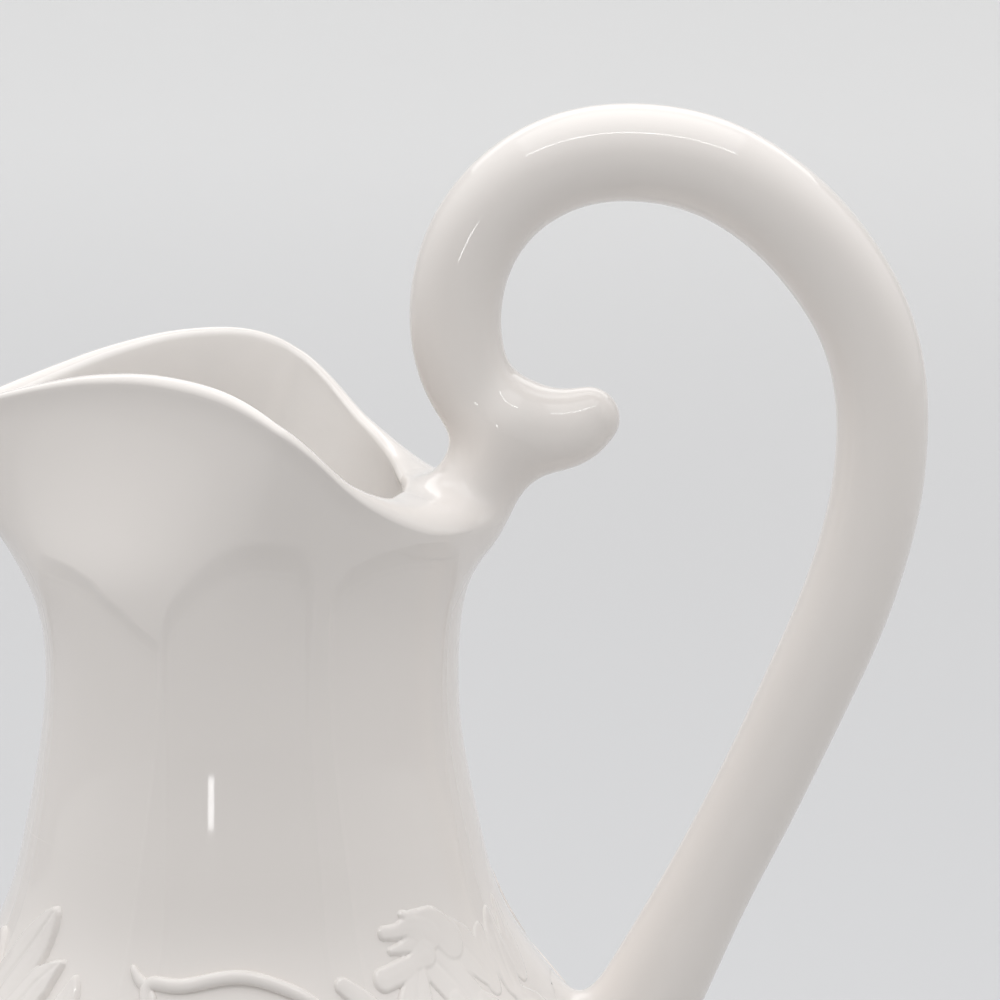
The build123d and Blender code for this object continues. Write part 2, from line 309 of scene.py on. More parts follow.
def add_mesh(name, points, faces, sharp=None):
    """An object with a smooth mesh, given in millimetres, with edges sharper than an angle kept."""
    mesh = bpy.data.meshes.new(name)
    mesh.from_pydata((np.asarray(points) * 0.001).tolist(), [], faces)
    mesh.validate()
    mesh.update()
    mesh.polygons.foreach_set("use_smooth", np.ones(len(mesh.polygons), bool))
    if sharp:
        mesh.set_sharp_from_angle(angle=math.radians(sharp))
    obj = bpy.data.objects.new(name, mesh)
    bpy.context.scene.collection.objects.link(obj)
    return obj


def ring_faces(first, second, count):
    """Quads between two rings of points, given by the number of their first point."""
    k = np.arange(count)
    j = (k + 1) % count
    return np.stack([first + k, first + j, second + j, second + k], axis=1).tolist()


def rows_to_mesh(name, rows, ends=False, loop=False):
    """Joins rings of points into one surface, closed over a middle point at each end or in a loop."""
    count = rows.shape[1]
    points = rows.reshape(-1, 3)
    last = (len(rows) - 1) * count
    faces = []
    for start in range(0, last, count):
        faces += ring_faces(start, start + count, count)
    if loop:
        faces += ring_faces(last, 0, count)
    if ends:
        middles = [[0, 0, rows[0, 0, 2]], [0, 0, rows[-1, 0, 2]]]
        first = len(points)
        faces += [[first, (k + 1) % count, k] for k in range(count)]
        faces += [[first + 1, last + k, last + (k + 1) % count] for k in range(count)]
        points = np.vstack([points, middles])
    return add_mesh(name, points, faces, sharp=50)


def wall_rows(low, high, count, turns, inset):
    """Rows of the outer or inner wall between two heights, each of which may vary with the turn."""
    share = np.linspace(0, 1, count)[:, None]
    z = low + (high - low) * share
    x, y = section(turns[None, :], z, inset)
    return np.stack([x, y, np.broadcast_to(z, x.shape)], axis=2)


# At the back the rim is thick and round: how far its crown lies inside the outer wall, by the turn
# in degrees from the handle's side
CROWN = np.array(
    [
        (0, 19.7), (15, 19.2), (30, 17.6), (42, 13.2), (53, 8.6),
        (62, 5.0), (71, 2.7), (80, BEAD), (180, BEAD),
    ]
)
CROWN_DROP = 5.6
# Rows of the neck's inner wall, and how many rows of the rim's round share the inner wall's whiter
# colour, which is painted light
INNER_ROWS = 40
ROUND_INSIDE = 4
# How far below its edge the lip turns outwards, and by how much
LIP_REACH = 6.0
LIP_FLARE = 0.8
# The outer rows lie closer together from this height up
CLOSER_FROM = 244


def rim_shape(turns):
    """For each turn the crown's inset, the outer round's height and power, and the wall's edge."""
    degrees = np.abs(np.degrees((turns + np.pi) % (2 * np.pi) - np.pi))
    inset = np.mean([np.interp(np.abs(degrees + k), *CROWN.T) for k in range(-8, 9, 2)], axis=0)
    back = 1 - smooth(34, 80, degrees)
    drop = BEAD + CROWN_DROP * back
    power = 2 - 0.25 * back
    top = np.full(len(turns), 300.0)
    for _ in range(60):
        x, _y = section(turns, top - BEAD, inset)
        top = 0.6 * top + 0.4 * rim_height(x)
    return inset, drop, power, top


def neck_turns():
    """Turns of the neck's columns, close together at the edges of the panels."""
    fine = np.linspace(0, 360, 7201)
    density = np.full(len(fine), 1.0)
    for lip_edge, handle_edge, _arch, _slope in PANELS:
        for pair in (lip_edge, handle_edge):
            low, high = min(pair) - 1.5, max(pair) + 1.5
            for first, last in ((90 - high, 90 - low), (270 + low, 270 + high)):
                near = smooth(-2.0, 0.0, -np.maximum(first - fine, fine - last))
                density = np.maximum(density, 1 + (GATHER - 1) * near)
    way = np.r_[0, np.cumsum((density[1:] + density[:-1]) / 2)]
    return np.radians(np.interp(np.arange(COLUMNS) * way[-1] / COLUMNS, way, fine))


def neck_rows():
    """Closed rows of the neck: outer wall, round rim and inner wall."""
    turns = np.arange(EVEN) * 2 * np.pi / EVEN
    crown, drop, power, top = rim_shape(turns)
    edge = top - drop
    levels = np.r_[
        np.linspace(JOINT, CLOSER_FROM, 24)[:-1],
        np.linspace(CLOSER_FROM, ARCH_TOP, 62),
    ]
    z = np.repeat(levels[:, None], len(turns), axis=1)
    share = np.linspace(0, 1, 34)[1:, None]
    z = np.vstack([z, ARCH_TOP + (edge - ARCH_TOP)[None, :] * share])
    x, y = section(turns[None, :], z, 0.0)
    outer = soften(np.stack([x, y, z], axis=2))
    z = outer[:, :, 2]
    normals = grid_normals(outer)
    sunk = panel_field(bearing_of(outer[:, :, 0], outer[:, :, 1]), z)
    near_edge = np.clip((z - (edge[None, :] - LIP_REACH)) / LIP_REACH, 0, 1)
    lip = LIP_FLARE * (1 - smooth(BEAD, 3 * BEAD, drop))
    outer = outer - normals * (sunk - lip * near_edge**2)[:, :, None]
    outer[:, :, 2] = np.where(near_edge > 0, z, outer[:, :, 2])
    inside = crown + BEAD
    share = np.linspace(0, 1, INNER_ROWS)
    inset = WALL + (inside[None, :] - WALL) * share[:, None] ** 4
    inner = soften(wall_rows(JOINT, (top - BEAD)[None, :], INNER_ROWS, turns, inset))[::-1]
    x, y = section(turns, top - BEAD, crown)
    ridge = soften(np.stack([x, y, top], axis=1)[None])[0]
    arc = []
    for turn in np.linspace(0, np.pi / 2, 18)[1:]:
        across, over = math.cos(turn) ** (2 / power), math.sin(turn) ** (2 / power)
        point = ridge + (outer[-1] - ridge) * across[:, None]
        point[:, 2] = edge + drop * over
        arc.append(point)
    for turn in np.linspace(0, np.pi / 2, 8)[1:-1]:
        point = ridge + (inner[0] - ridge) * math.sin(turn)
        point[:, 2] = top - BEAD + BEAD * math.cos(turn)
        arc.append(point)
    rows = np.concatenate([outer, np.array(arc), inner])
    spot = neck_turns() * EVEN / (2 * np.pi)
    low = spot.astype(int)
    part = (spot - low)[None, :, None]
    return rows[:, low % EVEN] * (1 - part) + rows[:, (low + 1) % EVEN] * part


def build_neck():
    rows = neck_rows()
    neck = rows_to_mesh("neck_and_spout", rows, loop=True)
    # The faces inside the mouth take the second material, a whiter copy of the glaze that is painted
    # light on the inside of the mouth
    first_inside = (len(rows) - INNER_ROWS - ROUND_INSIDE) * COLUMNS
    inside = np.arange(len(neck.data.polygons)) >= first_inside
    neck.data.materials.append(glaze("outer_glaze", WHITE))
    neck.data.materials.append(glaze("inner_glaze_painted_light", INSIDE_PAINTED_LIGHT_WHITE))
    neck.data.polygons.foreach_set("material_index", inside.astype(np.int32))
    return neck


def build_belly():
    turns = neck_turns()
    outer = wall_rows(FOOT_TOP, JOINT, 132, turns, 0.0)
    normals = grid_normals(outer)
    sunk = panel_field(bearing_of(outer[:, :, 0], outer[:, :, 1]), outer[:, :, 2])
    outer = outer - normals * sunk[:, :, None]
    inner = wall_rows(36.0, JOINT, 44, turns, WALL)[::-1]
    floor = []
    for share in np.linspace(1, 0, 8)[1:-1]:
        ring = inner[-1].copy()
        ring[:, :2] *= share
        ring[:, 2] = 32 + 4 * share**2
        floor.append(ring)
    under = []
    for share in (0.5, 0.8):
        ring = outer[0].copy()
        ring[:, :2] *= share
        under.append(ring)
    rows = np.concatenate([np.array(under), outer, inner, np.array(floor)])
    return rows_to_mesh("belly_shell", rows, ends=True)


FOOT_ROWS, FOOT_COLUMNS = 150, 240


def build_foot():
    # Radius and height, from the middle of the hollow underside out and up to the foot's top
    profile = np.array(
        [
            (8, 15.0), (22, 14.4), (34, 12.6), (43, 9.6), (48.2, 6.4), (51.2, 2.6), (51.9, 0.7),
            (52.6, 0.0), (58.2, 0.0), (59.2, 0.4), (60.6, 1.3), (61.6, 2.7), (61.9, 4.2),
            (61.3, 5.7), (60.0, 6.6), (58.9, 7.2), (58.5, 8.0), (57.9, 8.9), (56.0, 10.4),
            (53.4, 12.6), (50.9, 15.2), (49.2, 18.0), (48.5, 20.4), (48.9, 21.3), (49.5, 22.2),
            (49.6, 23.3), (49.1, 24.4), (48.2, 25.2), (47.5, 26.0), (30, 26.0),
        ]
    )
    length = np.r_[0, np.cumsum(np.hypot(*np.diff(profile, axis=0).T))]
    at = np.linspace(0, length[-1], FOOT_ROWS)
    r = np.interp(at, length, profile[:, 0])
    z = np.interp(at, length, profile[:, 1])
    kernel = np.array([1, 2, 1]) / 4
    for _ in range(3):
        r[1:-1] = np.convolve(r, kernel, "same")[1:-1]
        z[1:-1] = np.convolve(z, kernel, "same")[1:-1]
    # The ring stays flat where it rests
    z = np.where((r > 52.4) & (r < 58.4) & (z < 0.5), 0, z)
    z = np.maximum(z, 0)
    turns = np.arange(FOOT_COLUMNS) * 2 * np.pi / FOOT_COLUMNS
    rows = np.stack(
        [
            r[:, None] * np.cos(turns),
            r[:, None] * np.sin(turns),
            np.broadcast_to(z[:, None], (FOOT_ROWS, FOOT_COLUMNS)),
        ],
        axis=2,
    )
    return rows_to_mesh("foot_ring", rows, ends=True)


# Handle as an implicit form: the strand, the stay to the rim, and smooth fillets to what they meet.
# Points are worked on in chunks, which keeps the memory small
CHUNK = 20000


def strand_samples(count=420):
    """Places and radii along the handle's middle line, seen from the side."""
    step = np.r_[0, np.cumsum(np.hypot(np.diff(HANDLE[:, 0]), np.diff(HANDLE[:, 1])))]
    at = np.linspace(0, step[-1], count)
    x, z, r = (spline(step, HANDLE[:, k], at) for k in range(3))
    return np.stack([x, z], 1), r


STRAND, STRAND_RADIUS = strand_samples()


def strand_distance(p):
    """Distance to a row of balls along the middle line, read off between them by a parabola."""
    result = np.zeros(len(p))
    for start in range(0, len(p), CHUNK):
        q = p[start : start + CHUNK]
        d = (q[:, 0, None] - STRAND[None, :, 0]) ** 2 + (q[:, 2, None] - STRAND[None, :, 1]) ** 2
        d = np.sqrt(d + q[:, 1, None] ** 2) - STRAND_RADIUS[None, :]
        found = np.clip(d.argmin(1), 1, len(STRAND) - 2)
        row = np.arange(len(q))
        before, at, after = (d[row, found + k] for k in (-1, 0, 1))
        bend = np.maximum(before - 2 * at + after, 1e-9)
        slide = np.clip((before - after) / (2 * bend), -1, 1)
        result[start : start + CHUNK] = at + slide * (after - before) / 2 + slide**2 * bend / 2
    return result


def capsule(p, a, b, ra, rb, flat=1.0):
    """Distance to a rod from a to b with a radius at each end. Flat under 1 makes it wider across."""
    a, b = np.array(a, float), np.array(b, float)
    q = p - a
    t = np.clip((q @ (b - a)) / ((b - a) @ (b - a)), 0, 1)
    off = q - t[:, None] * (b - a)
    off = off * np.array([1, flat, 1])
    return np.linalg.norm(off, axis=1) - (ra + (rb - ra) * t)


def blend(a, b, reach):
    """Joins two distances with a smooth fillet."""
    h = np.maximum(reach - np.abs(a - b), 0) / reach
    return np.minimum(a, b) - h**3 * reach / 6


# The belly's and neck's outer radius about the axis, by bearing and height
NECK_BEARINGS = np.radians(np.linspace(-100, 100, 801))
NECK_HEIGHTS = np.linspace(100, 240, 281)


def neck_table():
    """Outer radius at every height and bearing of the two lists."""
    turns = np.linspace(-math.pi * 0.75, math.pi * 0.75, 2701)
    radii = []
    for z in NECK_HEIGHTS:
        x, y = section(turns, np.full(len(turns), z), 0.0)
        radius = np.hypot(x, y) - panel_field(bearing_of(x, y), z)
        radii.append(np.interp(NECK_BEARINGS, np.arctan2(y, x), radius))
    return np.array(radii)


NECK_RADIUS = neck_table()
NECK_SLOPE = np.gradient(NECK_RADIUS, NECK_HEIGHTS, axis=0)

# Distances to the neck's mesh round the back of its rim, on a grid of places, are used above RIM_FROM
RIM_LOW, RIM_HIGH, RIM_PITCH = (26.0, 0.0, 238.0), (80.0, 30.0, 310.0), 1.0
RIM_FROM = 239
RIM_TURN = 1.6


def rim_distances():
    """Distance to the neck's back half at every place of the grid, negative inside its wall."""
    rows = neck_rows()
    turns = (neck_turns() + np.pi) % (2 * np.pi) - np.pi
    order = np.argsort(turns)
    rows = rows[:, order[np.abs(turns[order]) < RIM_TURN]]
    count = rows.shape[1]
    faces = []
    for r in range(len(rows)):
        faces += ring_faces(r * count, (r + 1) % len(rows) * count, count)[: count - 1]
    tree = BVHTree.FromPolygons(rows.reshape(-1, 3).tolist(), faces)
    axes = [np.arange(RIM_LOW[k], RIM_HIGH[k] + RIM_PITCH, RIM_PITCH) for k in range(3)]
    result = np.empty([len(a) for a in axes])
    for i, x in enumerate(axes[0]):
        for j, y in enumerate(axes[1]):
            for k, z in enumerate(axes[2]):
                place, normal, _face, away = tree.find_nearest((x, y, z))
                side = (x - place[0]) * normal[0] + (y - place[1]) * normal[1]
                side += (z - place[2]) * normal[2]
                result[i, j, k] = away if side > 0 else -away
    return result


RIM_DISTANCE = rim_distances()


def rim_distance(p):
    """Distance at any points, read off between the places of the grid. Both sides are alike."""
    spot = (np.abs(p) - np.array(RIM_LOW)) / RIM_PITCH
    spot = np.clip(spot, 0, np.array(RIM_DISTANCE.shape) - 1.001)
    low = spot.astype(int)
    part = spot - low
    total = np.zeros(len(p))
    for i in (0, 1):
        for j in (0, 1):
            for k in (0, 1):
                weight = np.abs(1 - i - part[:, 0]) * np.abs(1 - j - part[:, 1])
                weight = weight * np.abs(1 - k - part[:, 2])
                total += weight * RIM_DISTANCE[low[:, 0] + i, low[:, 1] + j, low[:, 2] + k]
    return total


def look_up(table, bearing, z):
    """Reads a table of heights and bearings off between its places."""
    rise = NECK_HEIGHTS[1] - NECK_HEIGHTS[0]
    gap = NECK_BEARINGS[1] - NECK_BEARINGS[0]
    i = np.clip((z - NECK_HEIGHTS[0]) / rise, 0, len(NECK_HEIGHTS) - 1.001)
    j = np.clip((bearing - NECK_BEARINGS[0]) / gap, 0, len(NECK_BEARINGS) - 1.001)
    i0, j0 = i.astype(int), j.astype(int)
    u, v = i - i0, j - j0
    return (
        table[i0, j0] * (1 - u) * (1 - v)
        + table[i0 + 1, j0] * u * (1 - v)
        + table[i0, j0 + 1] * (1 - u) * v
        + table[i0 + 1, j0 + 1] * u * v
    )


def body_distance(p):
    """Distance to the neck's wall with its round rim, and lower down to the outline taken as solid."""
    bearing, rho = np.arctan2(p[:, 1], p[:, 0]), np.hypot(p[:, 0], p[:, 1])
    radius = look_up(NECK_RADIUS, bearing, p[:, 2])
    tilt = 1 / np.sqrt(1 + look_up(NECK_SLOPE, bearing, p[:, 2]) ** 2)
    solid = (rho - radius) * tilt
    high = p[:, 2] > RIM_FROM
    solid[high] = rim_distance(p[high])
    return solid


# Reach of the handle's fillets on the ewer, how far their thin edges lie under its surface, and how
# deep the handle goes into the wall
NECK_FILLET = 16.0
HIDE = 0.05
ROOT_DEPTH = 4.0
# The stay from the scroll to the rim and the web behind it: both ends and the radii there
STAY = (60.2, 0, 298.0), (50.5, 0, 279.0), 10.2, 8.0
STAY_FLAT = 0.85
STAY_FILLET = 8.0
WEB = (67.0, 0, 294.0), (52.0, 0, 277.0), 5.6, 4.0
WEB_FILLET = 7.0


def handle_only(p):
    """Distance to the strand, the stay and the web, without the ewer."""
    strand = strand_distance(p)
    with_stay = blend(strand, capsule(p, *STAY, flat=STAY_FLAT), STAY_FILLET)
    return blend(with_stay, capsule(p, *WEB), WEB_FILLET)


def handle_field(p):
    """The handle with its fillets, which ends inside the wall that it stands on."""
    alone = handle_only(p)
    body = body_distance(p)
    joined = blend(alone, body + HIDE, NECK_FILLET)
    joined = np.maximum(joined, alone - NECK_FILLET * 0.9)
    return np.maximum(joined, -(body + ROOT_DEPTH))


def surface_nets(field, low, high, step):
    """A quad mesh of the zero surface of a field, which has to close inside the box."""
    axes = [np.arange(low[k], high[k] + step, step) for k in range(3)]
    grid = np.stack(np.meshgrid(*axes, indexing="ij"), -1)
    shape = grid.shape[:3]
    flat = grid.reshape(-1, 3)
    near = coarse_mask(flat)
    values = np.full(len(flat), OUTSIDE)
    values[near] = field(flat[near])
    values = values.reshape(shape)
    inside = values < 0
    corners = [(i, j, k) for i in (0, 1) for j in (0, 1) for k in (0, 1)]
    # Every cell with the surface in it gets one point, the mean of where its edges cross the surface
    nx, ny, nz = (s - 1 for s in shape)
    total = np.zeros((nx, ny, nz), int)
    for i, j, k in corners:
        total += inside[i : i + nx, j : j + ny, k : k + nz]
    active = (total > 0) & (total < 8)
    index = -np.ones((nx, ny, nz), int)
    index[active] = np.arange(active.sum())
    where = np.argwhere(active)
    sums = np.zeros((len(where), 3))
    count = np.zeros(len(where))
    for axis in range(3):
        for i, j, k in corners:
            if (i, j, k)[axis]:
                continue
            end = [i, j, k]
            end[axis] = 1
            a = values[where[:, 0] + i, where[:, 1] + j, where[:, 2] + k]
            b = values[where[:, 0] + end[0], where[:, 1] + end[1], where[:, 2] + end[2]]
            cross = (a < 0) != (b < 0)
            t = np.where(cross, a / np.where(cross, a - b, 1), 0)
            point = np.tile(np.array([i, j, k], float), (len(where), 1))
            point[:, axis] += t
            sums += point * cross[:, None]
            count += cross
    points = (where + sums / count[:, None]) * step + np.array([a[0] for a in axes])
    # Every grid edge that crosses the surface gets a quad between the four cells round it
    faces = []
    for axis in range(3):
        one, two = [(1, 2), (2, 0), (0, 1)][axis]
        size = list(shape)
        size[axis] -= 1
        take = [slice(0, s) for s in size]
        shifted = [slice(0, s) for s in size]
        shifted[axis] = slice(1, size[axis] + 1)
        a, b = inside[tuple(take)], inside[tuple(shifted)]
        edge = np.argwhere(a != b)
        flip = a[tuple(edge.T)]
        ok = (edge[:, one] > 0) & (edge[:, two] > 0)
        ok &= (edge[:, one] < shape[one] - 1) & (edge[:, two] < shape[two] - 1)
        edge, flip = edge[ok], flip[ok]
        quad = []
        for d1, d2 in ((-1, -1), (0, -1), (0, 0), (-1, 0)):
            place = edge.copy()
            place[:, one] += d1
            place[:, two] += d2
            quad.append(index[tuple(place.T)])
        quad = np.stack(quad, 1)
        quad[~flip] = quad[~flip][:, ::-1]
        faces.append(quad)
    return points, np.concatenate(faces)


# Points further than FIELD_REACH from the handle's middle line and its stay's middle aren't worked out
FIELD_REACH = 24
STAY_MIDDLE = 56, 282
OUTSIDE = 5.0


def coarse_mask(flat):
    """Which grid points lie within reach of the handle's middle line or its stay."""
    line = STRAND[::6]
    near = np.zeros(len(flat), bool)
    for start in range(0, len(flat), CHUNK):
        q = flat[start : start + CHUNK]
        d = (q[:, 0, None] - line[None, :, 0]) ** 2 + (q[:, 2, None] - line[None, :, 1]) ** 2
        near[start : start + CHUNK] = np.sqrt(d.min(1) + q[:, 1] ** 2) < FIELD_REACH
    along = np.abs(flat[:, 0] - STAY_MIDDLE[0]) < FIELD_REACH
    return near | (along & (np.abs(flat[:, 2] - STAY_MIDDLE[1]) < FIELD_REACH))


def gradient(field, p, step=0.4):
    """The way in which a field grows, and how fast, at each point."""
    g = np.zeros_like(p)
    for k in range(3):
        d = np.zeros(3)
        d[k] = step
        g[:, k] = (field(p + d) - field(p - d)) / (2 * step)
    return g


HANDLE_BOX = (30.0, -27.2, 108.0), (163.0, 27.2, 378.0)
HANDLE_STEP = 0.8


def build_handle():
    step = HANDLE_STEP * 1
    points, quads = surface_nets(handle_field, *HANDLE_BOX, step)
    # The points are drawn onto the surface itself, and take its own normals
    for _ in range(2):
        g = gradient(handle_field, points)
        size = np.maximum((g**2).sum(1), 0.25)
        points = points - g * np.clip(handle_field(points) / size, -step, step)[:, None]
    obj = add_mesh("handle_strand", points, quads.tolist())
    g = gradient(handle_field, points)
    g /= np.maximum(np.linalg.norm(g, axis=1, keepdims=True), 1e-9)
    obj.data.normals_split_custom_set_from_vertices(g.tolist())
    return obj


# Relief on the shoulder and belly, pressed in a mould and laid on. Its edges lie this far under the
# surface, and its back as much deeper
SUNK = 0.7
STRAP_BACK = 1.0
LEAF_BACK = 1.2
# A strap is this much wider and flatter than its row says, down to a least half width, and a loose
# end is round over this share of its length
STRAP_WIDER = 1.2
STRAP_FLATTER = 0.68
THINNEST = 0.12
STRAP_END = 0.2


def belly_radius(z):
    return spline(LEVELS[:, 0], LEVELS[:, 3], z)


def belly_place(bearing, z, height):
    """A point over the surface at a bearing in degrees from the middle of the near side."""
    radius = belly_radius(z)
    slope = belly_radius(z + 0.5) - belly_radius(z - 0.5)
    tilt = 1 / np.sqrt(1 + slope**2)
    radius = radius + height * tilt
    z = z - height * slope * tilt
    turn = np.radians(bearing)
    return np.stack([radius * np.sin(turn), -radius * np.cos(turn), z], axis=-1)


def strap_points(spine, wide, thick, closed):
    """Points of a strap laid along a line of bearings and heights, which may close on itself."""
    spine = np.array(spine, float)
    if closed:
        spine = np.vstack([spine, spine[:1]])
    radius = belly_radius(spine[:, 1])
    way = np.diff(np.stack([np.radians(spine[:, 0]) * radius, spine[:, 1]], 1), axis=0)
    step = np.r_[0, np.cumsum(np.hypot(way[:, 0], way[:, 1]))]
    count = max(16, int(step[-1] / 0.7))
    at = np.linspace(0, step[-1], count)
    if closed:
        # Two points of the other end on either side make the curve smooth where it closes
        knots = np.r_[step[-3:-1] - step[-1], step, step[1:3] + step[-1]]
        wrap = [np.r_[spine[-3:-1, k], spine[:, k], spine[1:3, k]] for k in (0, 1)]
        bearing, z = (spline(knots, w, at) for w in wrap)
        at, bearing, z = at[:-1], bearing[:-1], z[:-1]
    else:
        bearing, z = (spline(step, spine[:, k], at) for k in (0, 1))
    share = at / step[-1]
    half = np.interp(share, np.linspace(0, 1, len(wide)), wide) * STRAP_WIDER
    thick = thick * STRAP_FLATTER
    if not closed:
        start = np.clip(share / STRAP_END, 0, 1)
        end = np.clip((1 - share) / STRAP_END, 0, 1)
        half = half * np.sqrt(1 - (1 - start) ** 2) * np.sqrt(1 - (1 - end) ** 2)
    half = np.maximum(half, THINNEST)
    radius = belly_radius(z)
    if closed:
        turn_step = (np.roll(bearing, -1) - np.roll(bearing, 1)) * np.pi / 180 * radius
        rise_step = np.roll(z, -1) - np.roll(z, 1)
    else:
        turn_step, rise_step = np.gradient(bearing) * np.pi / 180 * radius, np.gradient(z)
    size = np.maximum(np.hypot(turn_step, rise_step), 1e-9)
    side = np.stack([-rise_step / size, turn_step / size], 1)

    def row(u, lift):
        """The strap's line moved across it by u half widths and lifted."""
        away = bearing + np.degrees(side[:, 0] * half * u / radius)
        return belly_place(away, z + side[:, 1] * half * u, lift)

    rows = []
    over = np.linspace(0, np.pi, 15)
    for u, h in zip(np.cos(over), np.sin(over)):
        round_over = h**0.6
        lift = thick * round_over * np.minimum(1, half / thick) - SUNK * (1 - round_over)
        rows.append(row(u, lift))
    for u in (-0.8, 0.8):
        rows.append(row(u, np.full(len(z), -SUNK - STRAP_BACK)))
    return np.stack(rows, axis=1)


def relief_mesh(name, straps):
    """One mesh of straps, with their mirror images on the far side."""
    points, faces = [], []
    for spine, wide, thick, closed in straps:
        grid = strap_points(spine, wide, thick, closed)
        length, count = grid.shape[:2]
        for mirror in (1, -1):
            base = len(points)
            points += (grid * np.array([1, mirror, 1])).reshape(-1, 3).tolist()
            quads = []
            for r in range(length if closed else length - 1):
                quads += ring_faces(base + r * count, base + (r + 1) % length * count, count)
            if not closed:
                quads.append([base + k for k in range(count)])
                quads.append([base + (length - 1) * count + k for k in range(count)][::-1])
            faces += [q if mirror == 1 else q[::-1] for q in quads]
    return add_mesh(name, points, faces)


def side_bearing(x, z):
    """Bearing of a place on the side given by its way along the ewer."""
    return math.degrees(math.asin(x / float(belly_radius(np.array([z]))[0])))


# The strap's middle line, seen from the side: way along the ewer, height
FRAME_LINE = [
    (-21.0, 178.6), (-16.5, 178.9), (-11.0, 179.4), (-4.8, 180.8), (1.8, 181.0), (7.0, 179.7),
    (13.0, 177.3), (18.5, 173.5), (22.0, 167), (24.6, 155), (25.2, 140), (22.8, 125), (17, 110),
    (9, 98.5), (0, 94.5), (-9, 98.5), (-17, 110), (-22.8, 125), (-25.2, 140), (-24.8, 155),
    (-22.6, 166), (-21.6, 173),
]


def build_frames():
    """The strap and, at its upper corner, two short twigs.

    Each has a line of bearings and heights, half widths along it, a thickness, and whether it closes.
    """
    line = [(side_bearing(x, z), z) for x, z in FRAME_LINE]
    return relief_mesh("side_frames_strap", [
        (line, [1.35, 1.25, 1.35, 1.5, 1.35, 1.25, 1.35], 1.9, True),
        ([(-19.4, 177.9), (-22.4, 179.6), (-24.6, 182.6)], [1.3, 1.1, 0.6], 1.5, False),
        ([(-21.5, 178.6), (-19.0, 175.6), (-20.0, 171.0)], [1.2, 1.5, 1.3], 1.5, False),
    ])


# The radius at which a leaf's degrees are counted as millimetres, how far in from its edge it is
# rounded over, the half width of its vein, and the pitch of the grid that carries the leaves
LEAF_RADIUS = 62.0
ROUND = 0.8
VEIN = 0.55
RELIEF_STEP = 0.36
# Where two leaves come within this height of each other, they merge with a low ridge
MERGE = 0.35
MERGE_RIDGE = 0.06


def leaf_height(bearing, z, spine, wide, thick, vein, blunt=False):
    """Height of one leaf over the belly at every place of a grid, and how deep each is inside it."""
    spine = np.array(spine, float)
    scale = LEAF_RADIUS * math.pi / 180
    step = np.r_[0, np.cumsum(np.hypot(np.diff(spine[:, 0]) * scale, np.diff(spine[:, 1])))]
    at = np.linspace(0, step[-1], max(12, int(step[-1] / 0.6)))
    line = np.stack([spline(step, spine[:, 0], at) * scale, spline(step, spine[:, 1], at)], 1)
    share = at / at[-1]
    half = np.interp(share, np.linspace(0, 1, len(wide)), wide)
    if not blunt:
        half = half * np.sqrt(np.clip(1 - np.abs(share * 2 - 1) ** 6, 0.0, 1))
    flat = np.stack([bearing * scale, z], -1).reshape(-1, 1, 2)
    away = np.linalg.norm(flat - line[None], axis=2)
    inside = half[None] - away
    best = inside.argmax(1)
    deep = inside.max(1)
    shoulder = 1.0 - (1.0 - np.clip(deep / ROUND, 0, 1)) ** 2
    height = thick * np.sqrt(shoulder) * (0.82 + 0.18 * np.clip(deep / 3.0, 0, 1))
    groove = vein * np.exp(-((away[np.arange(len(best)), best] / VEIN) ** 2)) * (deep > 0)
    return (height - groove).reshape(bearing.shape), deep.reshape(bearing.shape)


def relief_patch(name, bearings, heights, leaves):
    """One closed mesh of merged leaves on the belly, and its mirror image on the far side."""
    grid_step = RELIEF_STEP * 1
    across = np.arange(bearings[0], bearings[1], grid_step / 1.08)
    up = np.arange(heights[0], heights[1], grid_step)
    bearing, z = np.meshgrid(across, up, indexing="ij")
    lift = np.full(bearing.shape, -SUNK)
    reach = np.full(bearing.shape, -9.0)
    for leaf in leaves:
        height, deep = leaf_height(bearing, z, *leaf)
        both = np.maximum(lift, height)
        near = np.maximum(MERGE - np.abs(lift - height), 0) / MERGE
        lift = np.where(deep > 0, both + MERGE_RIDGE * near**2, lift)
        reach = np.maximum(reach, deep)
    # Outside the leaves their edges slope down under the surface
    lift = np.where(reach > 0, lift, np.maximum(-SUNK, reach * 2.2))
    sunk = panel_field(bearing, z)
    top = belly_place(bearing, z, lift - sunk * (lift > 0))
    bottom = belly_place(bearing, z, np.full(z.shape, -SUNK - LEAF_BACK))
    keep = lift > -SUNK + 0.01
    cells = keep[:-1, :-1] | keep[1:, :-1] | keep[:-1, 1:] | keep[1:, 1:]
    # Two cells that touch at one corner only get a third between them, so that every edge has two faces
    for _ in range(2):
        cells[1:, :-1] |= cells[:-1, :-1] & cells[1:, 1:] & ~cells[:-1, 1:]
        cells[1:, 1:] |= cells[1:, :-1] & cells[:-1, 1:] & ~cells[:-1, :-1]
    index = np.arange(z.size).reshape(z.shape)
    corner = (index[:-1, :-1], index[1:, :-1], index[1:, 1:], index[:-1, 1:])
    quads = np.stack([c[cells] for c in corner], 1)
    edges = {}
    for quad in quads.tolist():
        for k in range(4):
            pair = (quad[k], quad[(k + 1) % 4])
            if (pair[1], pair[0]) in edges:
                del edges[(pair[1], pair[0])]
            else:
                edges[pair] = True
    size = z.size
    walls = [[b, a, a + size, b + size] for a, b in edges]
    faces = quads.tolist() + [[q + size for q in quad[::-1]] for quad in quads.tolist()] + walls
    points = np.vstack([top.reshape(-1, 3), bottom.reshape(-1, 3)])
    used = np.unique(np.concatenate([np.array(f) for f in faces]))
    renumber = np.zeros(len(points), int)
    renumber[used] = np.arange(len(used))
    points = points[used]
    faces = [[int(renumber[k]) for k in f] for f in faces]
    far = [[k + len(points) for k in f[::-1]] for f in faces]
    mirrored = points * np.array([1, -1, 1])
    return add_mesh(name, np.vstack([points, mirrored]), faces + far, sharp=60)


